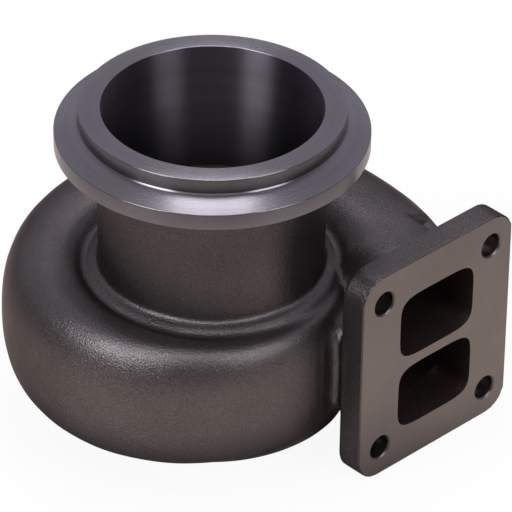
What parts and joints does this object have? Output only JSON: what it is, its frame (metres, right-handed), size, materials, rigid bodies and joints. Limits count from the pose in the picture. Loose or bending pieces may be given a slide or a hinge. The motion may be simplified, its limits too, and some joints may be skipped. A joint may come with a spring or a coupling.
{
  "type": "turbocharger turbine housing",
  "caption": "Cast spiral housing that leads exhaust gas from a divided rectangular inlet flange round to a turbine wheel and out through a clamped round outlet.",
  "frame": {"origin": "on the turbine axis, in the plane of the bearing side face", "axes": "+Z along the turbine axis to the outlet, +X out of the inlet flange, +Y from the turbine axis to the inlet duct's side"},
  "size_m": [0.2489, 0.2626, 0.222],
  "materials": {
    "casting": "sand-cast skin, with machined flange, rim and bores"
  },
  "bodies": {
    "root": {"turbine_housing": "casting"}
  },
  "joints": []
}
